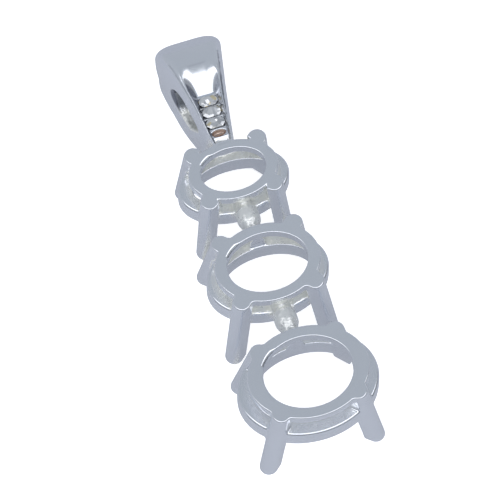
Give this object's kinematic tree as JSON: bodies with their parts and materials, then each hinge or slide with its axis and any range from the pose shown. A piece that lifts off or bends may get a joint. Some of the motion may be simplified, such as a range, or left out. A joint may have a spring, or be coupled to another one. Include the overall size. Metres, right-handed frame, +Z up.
{
  "type": "pendant mount",
  "caption": "Silver pendant mount: a line of graduated empty oval prong baskets below a tapered bail with small clear accent stones.",
  "frame": {"origin": "centre of the mount's plan on the surface that it lies on, face down on its prong tips", "axes": "+X across the pendant, +Y along it towards the bail, +Z up to the back plates"},
  "size_m": [0.008, 0.0256, 0.0059],
  "materials": {
    "silver": "polished",
    "crystal": "polished"
  },
  "bodies": {
    "root": {"mount": "silver", "accent_stone_1": "crystal", "accent_stone_2": "crystal", "accent_stone_3": "crystal"}
  },
  "joints": []
}
